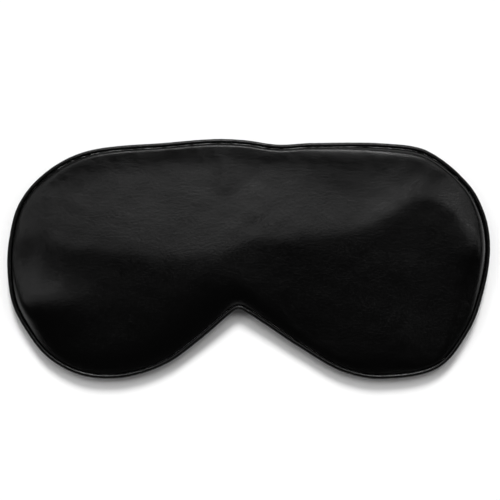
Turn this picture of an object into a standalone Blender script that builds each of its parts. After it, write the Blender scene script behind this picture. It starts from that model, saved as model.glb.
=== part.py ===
"""A padded satin sleep mask with piping and an adjustable elastic strap, lying face up on a surface.

Metres, +Z up. +X runs along the width, +Y towards the brow, and the surface is z = 0. The origin is the
middle of the mask's outline on that surface. Soft layers are closed sheets lofted from one outline, so that
they nest with a small gap between each. The strap lies flat under the mask, in a channel of the back panel.
"""

import math

import bmesh
import bpy
import numpy as np
from mathutils import Matrix

# Driving dimensions.
MASK_WIDTH = 0.215
MASK_HEIGHT = 0.107
CROWN = 0.0120  # top of the padded front above the surface
SIDE_FALL = 0.0034  # how much lower that top is at the ends
RIM_HEIGHT = 0.0050  # middle of the piping above the surface
NOSE_LIFT = 0.0012  # how much the bridge over the nose stands up
NOSE_TOP = (-0.005, -0.022)  # the place that the bridge's lift is centred on
NOSE_REACH = 0.022
PIPING_RADIUS = 0.0010
PIPING_CLOTH = 0.0003
CORD_RADIUS = 0.0004
CLOTH = 0.0005  # satin panel with its interfacing
LINING = 0.0004
GAP = 0.0003
ALLOWANCE = 0.0065  # how far the seam allowances reach in from the piping's middle
PAD_INSET = 0.0076  # where the linings and the filling start, clear of the allowances
SEAM_INSET = 0.0016  # where the panels' edges turn under beside the piping
TURN_INSET = 0.0024  # where the turned edges lie flat
FOLD_INSET = 0.0042  # where the front panel has left its turned edge
BACK_FOLD_INSET = 0.0052  # where the back panel has left its own
SEAM_RISE = 0.00105  # the front panel's edge above the piping's middle
SEAM_GAP = 0.00075  # between the piping's middle and each turned edge
THREAD = 0.0002

STRAP_Y = 0.0010
STRAP_WIDTH = 0.0120
WEBBING = 0.0007
STRAP_LOW = 0.00065  # middle of the webbing beside the seams
STRAP_MAIN = 0.0013  # middle of the straight run that the slider rides on
STRAP_TOP = 0.0037  # middle of the layer above the ring's bars
TAIL_RISE = 0.0011  # how far above the run the ring loop's sewn tail lies
LOOP_LOW = 0.0022  # middle of the slider loop's lower layer
LOOP_TAIL = 0.0032  # middle of its sewn tail
LOOP_TOP = 0.0041  # top of its turn round the raised bar
LOOP_END = 0.0130  # how far from the slider's middle the loop reaches
TURN_BACK = 0.0035  # how far webbing runs back past a ring bar that it turns round
SEAM_LAYER = 0.0039  # middle of the webbing where the seam holds it
STILL_LEFT = -0.050  # outside these two stations the webbing stretches
STILL_RIGHT = 0.060
MOUTH = 0.0075  # half the opening in each side seam that the strap passes through
MOUTH_SET_BACK = 0.0010  # how far the back panel's edge gives way there
CHANNEL_LOW = 0.0019  # the back panel above the surface over plain webbing
CHANNEL_HIGH = 0.0050  # and over the slider and the ring
CHANNEL_FLOOR = 0.0106  # how far from the strap's middle the channel is level
CHANNEL_EDGE = 0.0170  # where it has come down to the surface
CHANNEL_RISES = (-0.048, -0.030)
CHANNEL_FALLS = (0.064, 0.078)

SLIDER_X = -0.020
SLIDER_LENGTH = 0.0095
SLIDER_BAR = 0.0008
SLIDER_HIGH_BAR = 0.00315  # middle of the raised bar
RING_LEFT_BAR = 0.0435
RING_RIGHT_BAR = 0.0495
RING_WIRE = 0.0013
TACK_HEIGHT = 0.0003
TACK_ROW = 0.0006

STATIONS = 30  # along the brow, and again along the lower edge
SPINE = 0.088  # half the length of the middle line that the soft layers are lofted from

# The outline as it lies, clockwise from the nose notch, in shares of half the width and half the height.
OUTLINE = (
    (-0.045, -0.415), (-0.083, -0.464), (-0.197, -0.660), (-0.334, -0.861), (-0.482, -0.970),
    (-0.620, -0.990), (-0.734, -0.936), (-0.840, -0.803), (-0.921, -0.598), (-0.980, -0.364),
    (-1.000, -0.084), (-0.993, 0.167), (-0.958, 0.438), (-0.884, 0.648), (-0.761, 0.829),
    (-0.620, 0.922), (-0.341, 0.970), (-0.150, 1.000), (-0.020, 0.992), (0.120, 0.954),
    (0.254, 0.967), (0.566, 0.963), (0.742, 0.899), (0.912, 0.620), (0.982, 0.341),
    (0.998, 0.058), (0.970, -0.282), (0.912, -0.592), (0.784, -0.904), (0.557, -0.995),
    (0.387, -0.935), (0.206, -0.729), (0.068, -0.544), (-0.012, -0.441),
)

# Colour (linear), roughness and metallic value of each finish.
FINISHES = {
    "satin": ((0.010, 0.010, 0.011), 0.38, 0.0),
    "lining": ((0.020, 0.020, 0.022), 0.85, 0.0),
    "wadding": ((0.70, 0.69, 0.66), 0.95, 0.0),
    "cord": ((0.62, 0.60, 0.55), 0.90, 0.0),
    "thread": ((0.014, 0.014, 0.015), 0.55, 0.0),
    "elastic": ((0.012, 0.012, 0.013), 0.75, 0.0),
    "hardware": ((0.015, 0.015, 0.016), 0.30, 0.0),
}


def smooth_step(value, low, high):
    share = np.clip((value - low) / (high - low), 0.0, 1.0)
    return share * share * (3 - 2 * share)


# ---------------------------------------------------------------------------------------------------
# The outline and its stations


def smooth_loop(points, steps):
    """A closed curve through the points, as a cubic from point to point timed by their distance."""
    before, after = np.roll(points, 1, axis=0), np.roll(points, -1, axis=0)
    span = np.linalg.norm(after - points, axis=1)[:, None]
    slope = (after - before) / (span + np.roll(span, 1, axis=0))
    next_slope = np.roll(slope, -1, axis=0)
    rows = []
    for t in np.arange(steps) / steps:
        rows.append(
            points * (2 * t**3 - 3 * t**2 + 1)
            + after * (3 * t**2 - 2 * t**3)
            + span * slope * (t**3 - 2 * t**2 + t)
            + span * next_slope * (t**3 - t**2)
        )
    return np.stack(rows, axis=1).reshape(-1, 2)


def inward(curve):
    """Unit normals of a clockwise closed curve, pointing inside."""
    along = np.roll(curve, -1, axis=0) - np.roll(curve, 1, axis=0)
    along /= np.linalg.norm(along, axis=1)[:, None]
    return np.stack([along[:, 1], -along[:, 0]], axis=1)


def path_between(curve, first, last):
    """The stretch of a closed curve from one of its points to another, going forward."""
    if last < first:
        last += len(curve)
    return curve[np.arange(first, last + 1) % len(curve)]


def spaced(path, shares):
    """Points of a path at these shares of its length."""
    length = np.concatenate([[0], np.cumsum(np.linalg.norm(np.diff(path, axis=0), axis=1))])
    wanted = np.array(shares) * length[-1]
    return np.stack([np.interp(wanted, length, path[:, k]) for k in (0, 1)], axis=1), length[-1]


def end_spacing(length, count):
    """Shares with one short step at each end, where the strap comes out, and even steps between."""
    inner = np.linspace(MOUTH / length, 1 - MOUTH / length, count - 1)
    return np.concatenate([[0], inner, [1]])


def build_stations():
    """The piping's middle line, its inward normals and the spine point of each station, clockwise."""
    half = np.array([MASK_WIDTH / 2, MASK_HEIGHT / 2])
    edge = smooth_loop(np.array(OUTLINE) * half, 24)
    low, high = edge.min(axis=0), edge.max(axis=0)
    edge = (edge - (low + high) / 2) * (2 * half / (high - low))
    rim = edge + inward(edge) * PIPING_RADIUS
    near = np.abs(rim[:, 1] - STRAP_Y)
    left = int(np.argmin(np.where(rim[:, 0] < 0, near, np.inf)))
    right = int(np.argmin(np.where(rim[:, 0] > 0, near, np.inf)))
    apex = int(np.argmin(np.hypot(*(rim - NOSE_TOP).T)))

    brow = path_between(rim, left, right)
    top, _ = spaced(brow, end_spacing(spaced(brow, [0])[1], STATIONS))
    sides = []
    for path, turned in ((path_between(rim, right, apex), False), (path_between(rim, apex, left), True)):
        path = path[::-1] if turned else path
        length = spaced(path, [0])[1]
        mouth = MOUTH / length
        steps = np.linspace(0, 1, STATIONS // 2)
        shares = np.concatenate([[0], mouth + (1 - mouth) * (1 - (1 - steps) ** 1.2)])
        side = spaced(path, shares)[0]
        sides.append(side[::-1] if turned else side)
    top[0] = sides[1][-1]
    points = np.concatenate([top[:-1], sides[0][:-1], sides[1][:-1]])

    turn = np.linspace(0, math.pi, STATIONS + 1)
    across = -SPINE * np.cos(turn)
    spine = np.concatenate([across[:-1], across[:0:-1]])
    spine = np.stack([spine, np.full(len(spine), STRAP_Y)], axis=1)
    return points, inward(points), spine


POINTS, NORMALS, SPINE_POINTS = build_stations()
COUNT = len(POINTS)


def station_lift():
    """How much higher than the rest of the rim each station stands, over the bridge of the nose."""
    away = np.hypot(*(POINTS - NOSE_TOP).T)
    return NOSE_LIFT * np.exp(-((away / NOSE_REACH) ** 2))


def station_mouth():
    """1 at the stations where the strap passes through the seam, and 0 at the others."""
    beside = np.abs(POINTS[:, 1] - STRAP_Y) < MOUTH + 0.002
    return np.where(beside & (np.abs(POINTS[:, 0]) > SPINE), 1.0, 0.0)


RIM = RIM_HEIGHT + station_lift()
AT_MOUTH = station_mouth()


# ---------------------------------------------------------------------------------------------------
# Heights of the padded body


def from_edge(distance):
    """The ring of points this far inside the piping's middle, in plan: one distance or one for each."""
    return POINTS + NORMALS * np.reshape(distance, (-1, 1))


def from_spine(share):
    """The ring at this share of the way from the spine to the inner edge of the seam zone."""
    outer = from_edge(PAD_INSET)
    return SPINE_POINTS + (outer - SPINE_POINTS) * share


def channel_share(reach, most):
    """The share of the way out at which each station is this far from the spine, but not past most."""
    length = np.linalg.norm(from_edge(PAD_INSET) - SPINE_POINTS, axis=1)
    return np.minimum(reach / length, most)[:, None]


def depth(ring):
    """0 at the piping and 1 at the spine, for each station."""
    whole = np.linalg.norm(POINTS - SPINE_POINTS, axis=1)
    return np.clip(np.linalg.norm(ring - POINTS, axis=1) / whole, 0.0, 1.0)


def front_height(ring):
    """The outer face of the front panel: steep at the seam, broad and low-crowned in the middle."""
    crown = CROWN - SIDE_FALL * np.clip(np.abs(ring[:, 0]) / SPINE, 0, 1) ** 3
    rise = 1 - (1 - depth(ring)) ** 2.6
    edge = RIM + PIPING_RADIUS + GAP
    return edge + (crown - edge) * rise


def channel(ring):
    """How high the back panel stands over the strap: low over plain webbing, high over the hardware."""
    over_hardware = smooth_step(ring[:, 0], *CHANNEL_RISES) - smooth_step(ring[:, 0], *CHANNEL_FALLS)
    height = CHANNEL_LOW + (CHANNEL_HIGH - CHANNEL_LOW) * over_hardware
    aside = np.abs(ring[:, 1] - STRAP_Y)
    return height * (1 - smooth_step(aside, CHANNEL_FLOOR, CHANNEL_EDGE))


def allowance_top():
    """The upper face of the back panel's turned-in edge, which drops where the strap passes over it."""
    return RIM - SEAM_GAP - MOUTH_SET_BACK * AT_MOUTH


def back_height(ring):
    """The outer face of the back panel: flat on the surface but for the strap's channel."""
    lift = np.clip(1 - depth(ring) / 0.4, 0.0, 1.0) ** 2.2
    lowest = allowance_top() - 2 * CLOTH - THREAD
    return np.maximum(lowest * lift, channel(ring) * (1 - 0.25 * lift))


def ring_at(plan, height):
    """Points in space from a ring in plan and its height, one number or one for each station."""
    return np.column_stack([plan, np.broadcast_to(height, (COUNT,))])


# ---------------------------------------------------------------------------------------------------
# Mesh helpers


def material(name):
    found = bpy.data.materials.get(name)
    if found:
        return found
    colour, roughness, metallic = FINISHES[name]
    made = bpy.data.materials.new(name)
    made.use_nodes = True
    shader = made.node_tree.nodes["Principled BSDF"]
    shader.inputs["Base Color"].default_value = (*colour, 1)
    shader.inputs["Roughness"].default_value = roughness
    shader.inputs["Metallic"].default_value = metallic
    made.diffuse_color = (*colour, 1)
    return made


def add_object(name, mesh, finish, parent=None, smooth=True):
    """A named object in the mask's collection, placed from its mesh in world coordinates."""
    made = bpy.data.objects.new(name, mesh)
    mesh.materials.append(material(finish))
    if smooth:
        mesh.shade_smooth()
        mesh.set_sharp_from_angle(angle=math.radians(45))
    bpy.data.collections["sleep_mask"].objects.link(made)
    if parent:
        made.parent = parent
        made.matrix_parent_inverse = parent.matrix_world.inverted()
    return made


def mesh_from(name, build):
    """A mesh filled by a function that gets an empty bmesh, with its faces turned outwards."""
    made = bmesh.new()
    build(made)
    bmesh.ops.recalc_face_normals(made, faces=made.faces)
    mesh = bpy.data.meshes.new(name)
    made.to_mesh(mesh)
    made.free()
    return mesh


def body_of_rings(name, rings, finish):
    """A closed body from rings that start and end on the spine, where both sides share each point.

    Each four-sided patch is split the same way on every layer, so that nested layers stay parallel.
    """

    def spine_index(station):
        return station if station <= STATIONS else COUNT - station

    def build(made):
        loops = []
        for number, ring in enumerate(rings):
            if number in (0, len(rings) - 1):
                line = [made.verts.new(ring[i]) for i in range(STATIONS + 1)]
                loops.append([line[spine_index(i)] for i in range(COUNT)])
            else:
                loops.append([made.verts.new(point) for point in ring])
        reach = [np.linalg.norm(ring[:, :2] - SPINE_POINTS, axis=1).mean() for ring in rings]
        for number in range(len(loops) - 1):
            near, far = loops[number], loops[number + 1]
            if reach[number] > reach[number + 1]:
                near, far = far, near
            for i in range(COUNT):
                j = (i + 1) % COUNT
                if near[i] is not near[j]:
                    made.faces.new([near[i], near[j], far[j]])
                made.faces.new([near[i], far[j], far[i]])

    return add_object(name, mesh_from(name, build), finish)


def swept_section(name, section, finish):
    """A closed section swept round the rim: its points are (distance inside the rim, height above it)."""

    def build(made):
        loops = []
        for inset, height in section:
            ring = ring_at(from_edge(inset), RIM + height)
            loops.append([made.verts.new(point) for point in ring])
        for first, second in zip(loops, loops[1:] + loops[:1]):
            for i in range(COUNT):
                j = (i + 1) % COUNT
                made.faces.new([first[i], first[j], second[j], second[i]])

    return add_object(name, mesh_from(name, build), finish)


def offset_path(path, distance):
    """A path in the XZ plane moved sideways, with mitred corners."""
    path = np.array(path)
    step = np.diff(path, axis=0)
    step /= np.linalg.norm(step, axis=1)[:, None]
    side = np.stack([-step[:, 1], step[:, 0]], axis=1)
    first = np.concatenate([side[:1], side])
    second = np.concatenate([side, side[-1:]])
    middle = first + second
    middle /= np.linalg.norm(middle, axis=1)[:, None]
    cosine = (middle * first).sum(axis=1)[:, None]
    return path + middle * distance / cosine


def prism(name, outline, width, finish, parent=None, middle=STRAP_Y, smooth=False):
    """A closed XZ outline drawn out along Y, half its width to each side of its middle."""

    def build(made):
        ends = []
        for y in (middle - width / 2, middle + width / 2):
            ends.append([made.verts.new((x, y, z)) for x, z in outline])
        made.faces.new(ends[0])
        made.faces.new(ends[1])
        for i in range(len(outline)):
            j = (i + 1) % len(outline)
            made.faces.new([ends[0][i], ends[0][j], ends[1][j], ends[1][i]])

    return add_object(name, mesh_from(name, build), finish, parent, smooth)


def webbing(name, path, parent=None):
    """A run of strap webbing along a path in the XZ plane."""
    outline = np.concatenate([offset_path(path, WEBBING / 2), offset_path(path, -WEBBING / 2)[::-1]])
    return prism(name, outline, STRAP_WIDTH, "elastic", parent, smooth=True)


def turn_points(centre_x, centre_z, radius, side, steps=6):
    """Half a circle from bottom to top round a bar, bulging towards this side (+1 or -1)."""
    angles = np.linspace(-math.pi / 2, math.pi / 2, steps + 1)
    return [(centre_x + side * radius * math.cos(a), centre_z + radius * math.sin(a)) for a in angles]


def tack(name, x, z, parent=None, width=STRAP_WIDTH - 0.002, rows=3):
    """A bar tack: a low ridged bar of close zigzag stitches across the webbing."""
    low, high, row = z, z + TACK_HEIGHT, TACK_ROW
    start = x - rows * row / 2
    outline = [(start, low)]
    for i in range(rows):
        outline += [(start + (i + 0.25) * row, high), (start + (i + 0.75) * row, high)]
        outline.append((start + (i + 1) * row, low + 0.4 * TACK_HEIGHT if i < rows - 1 else low))
    return prism(name, outline, width, "thread", parent)


# ---------------------------------------------------------------------------------------------------
# The padded body


def outer_rings(height):
    """Rings of an outer face from the spine to the inner edge of the seam zone."""
    rings = []
    spine = ring_at(SPINE_POINTS, 0)
    spine[:, 2] = height(SPINE_POINTS)
    rings.append(spine)
    level = channel_share(CHANNEL_FLOOR, 0.5)
    start = channel_share(CHANNEL_EDGE, 0.8)
    for plan in (from_spine(level), from_spine(start)):
        rings.append(ring_at(plan, height(plan)))
    for share in (0.55, 0.82):
        plan = from_spine(start + (1 - start) * share)
        rings.append(ring_at(plan, height(plan)))
    return rings


def lowered(rings, amount):
    return [ring - np.array([0, 0, amount]) for ring in rings]


def edge_ring(height, inset, drop=0.0):
    plan = from_edge(inset)
    return ring_at(plan, height(plan) - drop)


def make_front_panel():
    rings = outer_rings(front_height)
    rings += [edge_ring(front_height, inset) for inset in (PAD_INSET, FOLD_INSET, TURN_INSET)]
    rings.append(ring_at(from_edge(SEAM_INSET), RIM + SEAM_RISE))
    under = RIM + SEAM_GAP
    rings += [ring_at(from_edge(inset), under) for inset in (TURN_INSET, ALLOWANCE)]
    over = under + CLOTH
    rings += [ring_at(from_edge(inset), over) for inset in (ALLOWANCE, TURN_INSET + 2 * CLOTH)]
    rings += [edge_ring(front_height, inset, CLOTH) for inset in (FOLD_INSET, PAD_INSET)]
    rings += lowered(outer_rings(front_height), CLOTH)[::-1]
    body_of_rings("front_panel", rings, "satin")


def make_back_panel():
    rings = outer_rings(back_height)
    rings += [edge_ring(back_height, inset) for inset in (PAD_INSET, BACK_FOLD_INSET)]
    top = allowance_top()
    under = top - LINING
    back = MOUTH_SET_BACK * AT_MOUTH  # the strap turns round the panel's edge, so that edge lies further in
    rings.append(ring_at(from_edge(TURN_INSET + back), under - SEAM_GAP))
    rings.append(ring_at(from_edge(SEAM_INSET + back), under))
    rings += [ring_at(from_edge(TURN_INSET + back), top), ring_at(from_edge(ALLOWANCE), top)]
    rings += [ring_at(from_edge(ALLOWANCE), under), ring_at(from_edge(2 * SEAM_INSET + back), under)]
    rings += [edge_ring(back_height, inset, -CLOTH) for inset in (BACK_FOLD_INSET, PAD_INSET)]
    rings += lowered(outer_rings(back_height), -CLOTH)[::-1]
    body_of_rings("back_panel", rings, "satin")


def pad_rings(height, shift):
    """Rings from the spine to the pad's edge, moved up or down from an outer face."""
    rings = lowered(outer_rings(height), -shift)
    rings.append(edge_ring(height, PAD_INSET, -shift))
    return rings


def make_pad_layer(name, finish, upper, upper_shift, lower, lower_shift):
    top = pad_rings(upper, upper_shift)
    bottom = pad_rings(lower, lower_shift)
    body_of_rings(name, top + bottom[::-1], finish)


def make_inside():
    under_front = -(CLOTH + GAP)
    over_back = CLOTH + GAP
    make_pad_layer(
        "light_block_lining", "lining", front_height, under_front, front_height, under_front - LINING
    )
    make_pad_layer("back_lining", "lining", back_height, over_back + LINING, back_height, over_back)
    make_pad_layer(
        "filling",
        "wadding",
        front_height,
        under_front - LINING - GAP,
        back_height,
        over_back + LINING + GAP,
    )


# ---------------------------------------------------------------------------------------------------
# Piping and seam


def make_piping():
    """A cord, and the bias strip round it whose two edges run side by side into the seam."""
    turns = np.radians([0, 45, 90, 135, 180, 225, 270, 315])
    swept_section(
        "piping_cord",
        [(CORD_RADIUS * math.cos(a), CORD_RADIUS * math.sin(a)) for a in turns],
        "cord",
    )
    inner, outer = PIPING_RADIUS - PIPING_CLOTH, PIPING_RADIUS
    mouth = GAP / 2
    wall = mouth + PIPING_CLOTH
    open_at = math.asin(mouth / inner)
    shut_at = math.asin(wall / outer)
    inside = np.linspace(open_at, 2 * math.pi - open_at, 9)
    outside = np.linspace(2 * math.pi - shut_at, shut_at, 11)
    section = [(inner * math.cos(a), inner * math.sin(a)) for a in inside]
    section += [(ALLOWANCE, -mouth), (ALLOWANCE, -wall)]
    section += [(outer * math.cos(a), outer * math.sin(a)) for a in outside]
    section += [(ALLOWANCE, wall), (ALLOWANCE, mouth)]
    swept_section("piping_cover", section, "satin")


def make_seam_threads():
    """The two threads of the seam that joins the panels to the piping all round, on either side of it."""
    half = THREAD / 2
    square = ((-half, -half), (half, -half), (half, half), (-half, half))
    above = SEAM_GAP + CLOTH + 0.7 * THREAD
    beside = [(ALLOWANCE - 0.0007 + x, above + z) for x, z in square]
    swept_section("seam_needle_thread", beside, "thread")
    between = -(GAP / 2 + PIPING_CLOTH + SEAM_GAP) / 2
    beside = [(ALLOWANCE - 0.0015 + x, between + z) for x, z in square]
    swept_section("seam_bobbin_thread", beside, "thread")


def make_closing_stitch():
    """The slip stitch along the gap in the lower edge that the mask was turned through."""
    first = COUNT - 10
    points = []
    into_panel, into_piping = (0.00155, -0.00160), (0.00130, -0.00145)
    for i in range(first, first + 5):
        ahead = (i + 1) % COUNT
        for step, (inset, height) in enumerate((into_panel, into_piping)):
            share = step / 2
            plan = from_edge(inset)
            place = plan[i] * (1 - share) + plan[ahead] * share
            rim = RIM[i] * (1 - share) + RIM[ahead] * share
            points.append((*place, rim + height))
    curve = bpy.data.curves.new("closing_stitch", "CURVE")
    curve.dimensions = "3D"
    curve.bevel_depth = 0.6 * THREAD
    curve.bevel_resolution = 0
    curve.use_fill_caps = True
    line = curve.splines.new("POLY")
    line.points.add(len(points) - 1)
    for point, place in zip(line.points, points):
        point.co = (*place, 1)
    made = bpy.data.objects.new("closing_stitch", curve)
    curve.materials.append(material("thread"))
    bpy.data.collections["sleep_mask"].objects.link(made)


# ---------------------------------------------------------------------------------------------------
# The strap and its hardware


def seam_end(side):
    """The webbing's path from inside one side seam, out, round and back under the mask."""
    station = 0 if side < 0 else STATIONS
    rim_x = POINTS[station][0]
    held = rim_x - side * ALLOWANCE
    turn_x = rim_x - side * 0.0031
    radius = (SEAM_LAYER - STRAP_LOW) / 2
    arc = turn_points(turn_x, (SEAM_LAYER + STRAP_LOW) / 2, radius, side)[::-1]
    resting = [(rim_x - side * 0.010, STRAP_LOW), (rim_x - side * 0.020, STRAP_MAIN)]
    return [(held, SEAM_LAYER), *arc, *resting]


def make_strap_ends():
    webbing("strap_left_run", [*seam_end(-1), (STILL_LEFT - GAP / 2, STRAP_MAIN)])
    webbing("strap_right_run", [*seam_end(1), (STILL_RIGHT + GAP / 2, STRAP_MAIN)])
    for name, side in (("left_end_tack", -1), ("right_end_tack", 1)):
        station = 0 if side < 0 else STATIONS
        x = POINTS[station][0] - side * (ALLOWANCE + PAD_INSET) / 2
        tack(name, x, SEAM_LAYER - TACK_HEIGHT / 2, width=STRAP_WIDTH - 0.001, rows=1)


def make_strap_middle(strap):
    """The part of the strap that moves straight away from the face when it is stretched."""
    radius = (STRAP_TOP - STRAP_MAIN) / 2
    middle = (STRAP_TOP + STRAP_MAIN) / 2
    round_left = turn_points(RING_LEFT_BAR, middle, radius, 1)
    webbing(
        "strap_main_run",
        [(STILL_LEFT + GAP / 2, STRAP_MAIN), *round_left, (RING_LEFT_BAR - TURN_BACK, STRAP_TOP)],
        strap,
    )
    round_right = turn_points(RING_RIGHT_BAR, middle, radius, -1)
    tail_height = STRAP_MAIN + TAIL_RISE
    tail = [(RING_RIGHT_BAR + TURN_BACK, tail_height), (STILL_RIGHT - 0.0015, tail_height)]
    webbing("ring_loop", [(STILL_RIGHT - GAP / 2, STRAP_MAIN), *round_right, *tail], strap)
    tack("ring_loop_tack", STILL_RIGHT - TURN_BACK, tail_height + WEBBING / 2 + 0.0002, strap)


def bar(name, x, z, diameter, length, finish="hardware"):
    """A round bar across the strap."""
    made = bmesh.new()
    bmesh.ops.create_cone(
        made, cap_ends=True, segments=10, radius1=diameter / 2, radius2=diameter / 2, depth=length
    )
    bmesh.ops.rotate(made, verts=made.verts, matrix=Matrix.Rotation(math.pi / 2, 3, "X"))
    bmesh.ops.translate(made, verts=made.verts, vec=(x, STRAP_Y, z))
    mesh = bpy.data.meshes.new(name)
    made.to_mesh(mesh)
    made.free()
    return add_object(name, mesh, finish)


def join(name, pieces, parent):
    """One solid from pieces that overlap, by Boolean unions on the first."""
    body = pieces[0]
    body.name = name
    for piece in pieces[1:]:
        union = body.modifiers.new("join", "BOOLEAN")
        union.operation = "UNION"
        union.object = piece
        piece.hide_render = True
        piece.display_type = "WIRE"
        bpy.data.collections["sleep_mask"].objects.unlink(piece)
        bpy.data.collections["sleep_mask_helpers"].objects.link(piece)
    body.parent = parent
    body.matrix_parent_inverse = parent.matrix_world.inverted()
    return body


def make_ring(strap):
    """A rectangular loop of round wire lying flat, between the webbing's layers."""
    z = (STRAP_TOP + STRAP_MAIN) / 2
    rail = STRAP_WIDTH / 2 + 0.0003 + RING_WIRE / 2
    pieces = []
    for x in (RING_LEFT_BAR, RING_RIGHT_BAR):
        pieces.append(bar(f"ring_bar_{len(pieces)}", x, z, RING_WIRE, 2 * rail + 0.0006))
    half = RING_WIRE / 2
    left, right = RING_LEFT_BAR - half, RING_RIGHT_BAR + half
    low, high = z - 0.8 * half, z + 0.8 * half
    outline = [(left, low), (right, low), (right, high), (left, high)]
    for side in (-1, 1):
        name = f"ring_rail_{side}"
        pieces.append(prism(name, outline, RING_WIRE, "hardware", middle=STRAP_Y + side * rail))
    join("ring", pieces, strap)


def make_slider(slide):
    """A tri-glide: two low bars under the webbing and one raised bar above it, on two side cheeks."""
    low = SLIDER_BAR / 2
    high = SLIDER_HIGH_BAR
    reach = SLIDER_LENGTH / 2 - low
    rail = STRAP_WIDTH / 2 + 0.0003 + SLIDER_BAR / 2
    pieces = []
    for x, z in ((-reach, low), (0, high), (reach, low)):
        pieces.append(bar(f"slider_bar_{len(pieces)}", SLIDER_X + x, z, SLIDER_BAR, 2 * rail + 0.0004))
    end, top = SLIDER_LENGTH / 2, high + low
    cheek = [(-end, 0.00002), (end, 0.00002), (end, SLIDER_BAR)]
    cheek += [(0.0012, top), (-0.0012, top), (-end, SLIDER_BAR)]
    outline = [(SLIDER_X + x, z) for x, z in cheek]
    for side in (-1, 1):
        name = f"slider_cheek_{side}"
        pieces.append(prism(name, outline, SLIDER_BAR, "hardware", middle=STRAP_Y + side * rail))
    join("slider", pieces, slide)


def make_slider_end(slide):
    """The webbing's sewn end round the slider's raised bar, and the run that leads to it from the ring."""
    end = SLIDER_X + LOOP_END
    round_bar = turn_points(SLIDER_X, (LOOP_LOW + LOOP_TOP) / 2, (LOOP_TOP - LOOP_LOW) / 2, -1)
    tail = [(SLIDER_X + SLIDER_LENGTH / 2, LOOP_TAIL), (end - 0.0008, LOOP_TAIL)]
    webbing("slider_end_loop", [(end, LOOP_LOW), *round_bar, *tail], slide)
    tack("slider_tack", SLIDER_X + SLIDER_LENGTH, LOOP_TAIL + WEBBING / 2 + 0.0002, slide)
    start = RING_LEFT_BAR - TURN_BACK - GAP
    rise = [(start - 0.0090, LOOP_LOW), (start - 0.0015, STRAP_TOP), (start, STRAP_TOP)]
    webbing("strap_return_run", [(end + GAP, LOOP_LOW), *rise])


def main():
    for found in list(bpy.data.objects):
        bpy.data.objects.remove(found)
    for name in ("sleep_mask", "sleep_mask_helpers"):
        group = bpy.data.collections.new(name)
        bpy.context.scene.collection.children.link(group)
    bpy.data.collections["sleep_mask_helpers"].hide_render = True
    strap = bpy.data.objects.new("strap_pull_axis", None)
    slide = bpy.data.objects.new("slider_axis", None)
    for axis in (strap, slide):
        bpy.data.collections["sleep_mask"].objects.link(axis)
    slide.parent = strap

    make_front_panel()
    make_back_panel()
    make_inside()
    make_piping()
    make_seam_threads()
    make_closing_stitch()
    make_strap_ends()
    make_strap_middle(strap)
    make_ring(strap)
    make_slider(slide)
    make_slider_end(slide)


main()
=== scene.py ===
"""The looks of a padded satin sleep mask: cloth, piping, wadding, elastic strap and its adjuster.

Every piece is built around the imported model, in metres, with +Z up and the mask lying face up on z = 0.
"""

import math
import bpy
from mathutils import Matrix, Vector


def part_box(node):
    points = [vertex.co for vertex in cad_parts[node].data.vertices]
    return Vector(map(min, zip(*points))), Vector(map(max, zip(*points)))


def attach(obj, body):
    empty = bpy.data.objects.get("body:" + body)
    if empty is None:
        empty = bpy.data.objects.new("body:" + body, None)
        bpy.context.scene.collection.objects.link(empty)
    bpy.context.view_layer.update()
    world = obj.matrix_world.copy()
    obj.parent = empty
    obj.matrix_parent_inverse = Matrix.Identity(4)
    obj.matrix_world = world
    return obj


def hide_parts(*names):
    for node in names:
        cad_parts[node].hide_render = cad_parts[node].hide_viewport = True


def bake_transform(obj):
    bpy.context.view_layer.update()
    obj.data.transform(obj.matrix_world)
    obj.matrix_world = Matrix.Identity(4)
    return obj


bl_info = {
    "name": "Satin sleep mask",
    "version": (1, 0, 0),
    "blender": (4, 5, 0),
    "location": "View3D > Sidebar > Sleep mask",
    "description": "Builds a padded satin sleep mask with its piping, strap and adjuster",
    "category": "Add Mesh",
}

import bpy
import numpy as np
from mathutils import Vector

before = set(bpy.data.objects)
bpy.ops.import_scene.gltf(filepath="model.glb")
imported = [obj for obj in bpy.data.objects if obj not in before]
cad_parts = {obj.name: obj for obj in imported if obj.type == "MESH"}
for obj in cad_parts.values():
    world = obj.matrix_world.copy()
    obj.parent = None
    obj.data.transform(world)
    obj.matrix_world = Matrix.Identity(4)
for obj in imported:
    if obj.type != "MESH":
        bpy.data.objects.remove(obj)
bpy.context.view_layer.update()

# Insets are measured inwards from the middle of the piping.
SEAM_INSET = 0.0011
HEM_INSET = 0.0064  # where the turned-in edges of the panels end
HEM = HEM_INSET - SEAM_INSET
CLOTH = 0.0003
MOUTH_DEPTH = 0.0010  # how far the back's seam stands open where the strap leaves it
CREST_REACH = 0.090  # half the length of the line that the soft pieces are lofted from
EDGE_START = 0.0080  # where the linings end, and the panels' closer rings begin
EDGE_STEPS = (
    0.0072, 0.0064, 0.0057, 0.0050, 0.0044, 0.0038, 0.0032, 0.0027, 0.0022, 0.0018, 0.0015, 0.0012,
)

RIM_LOW, RIM_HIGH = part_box("piping_cover")
MAIN_LOW, MAIN_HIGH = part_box("strap_main_run")
RING_LOW, RING_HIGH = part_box("ring")
SLIDER_LOW, SLIDER_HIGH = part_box("slider")
STRAP_Y = (MAIN_LOW.y + MAIN_HIGH.y) / 2
STILL_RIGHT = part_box("ring_loop")[1].x
SLIDER_X = (SLIDER_LOW.x + SLIDER_HIGH.x) / 2

# Heights of the webbing's middle: on the surface, along the back, over the hardware, and in the side seams.
STRAP_LOW, STRAP_MAIN, STRAP_TOP, SEAM_LAYER = 0.00065, 0.0013, 0.0037, 0.0039
MOUTH_X = 0.090  # the side seams lie further out than this
RIB_PITCH = 0.0010

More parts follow.
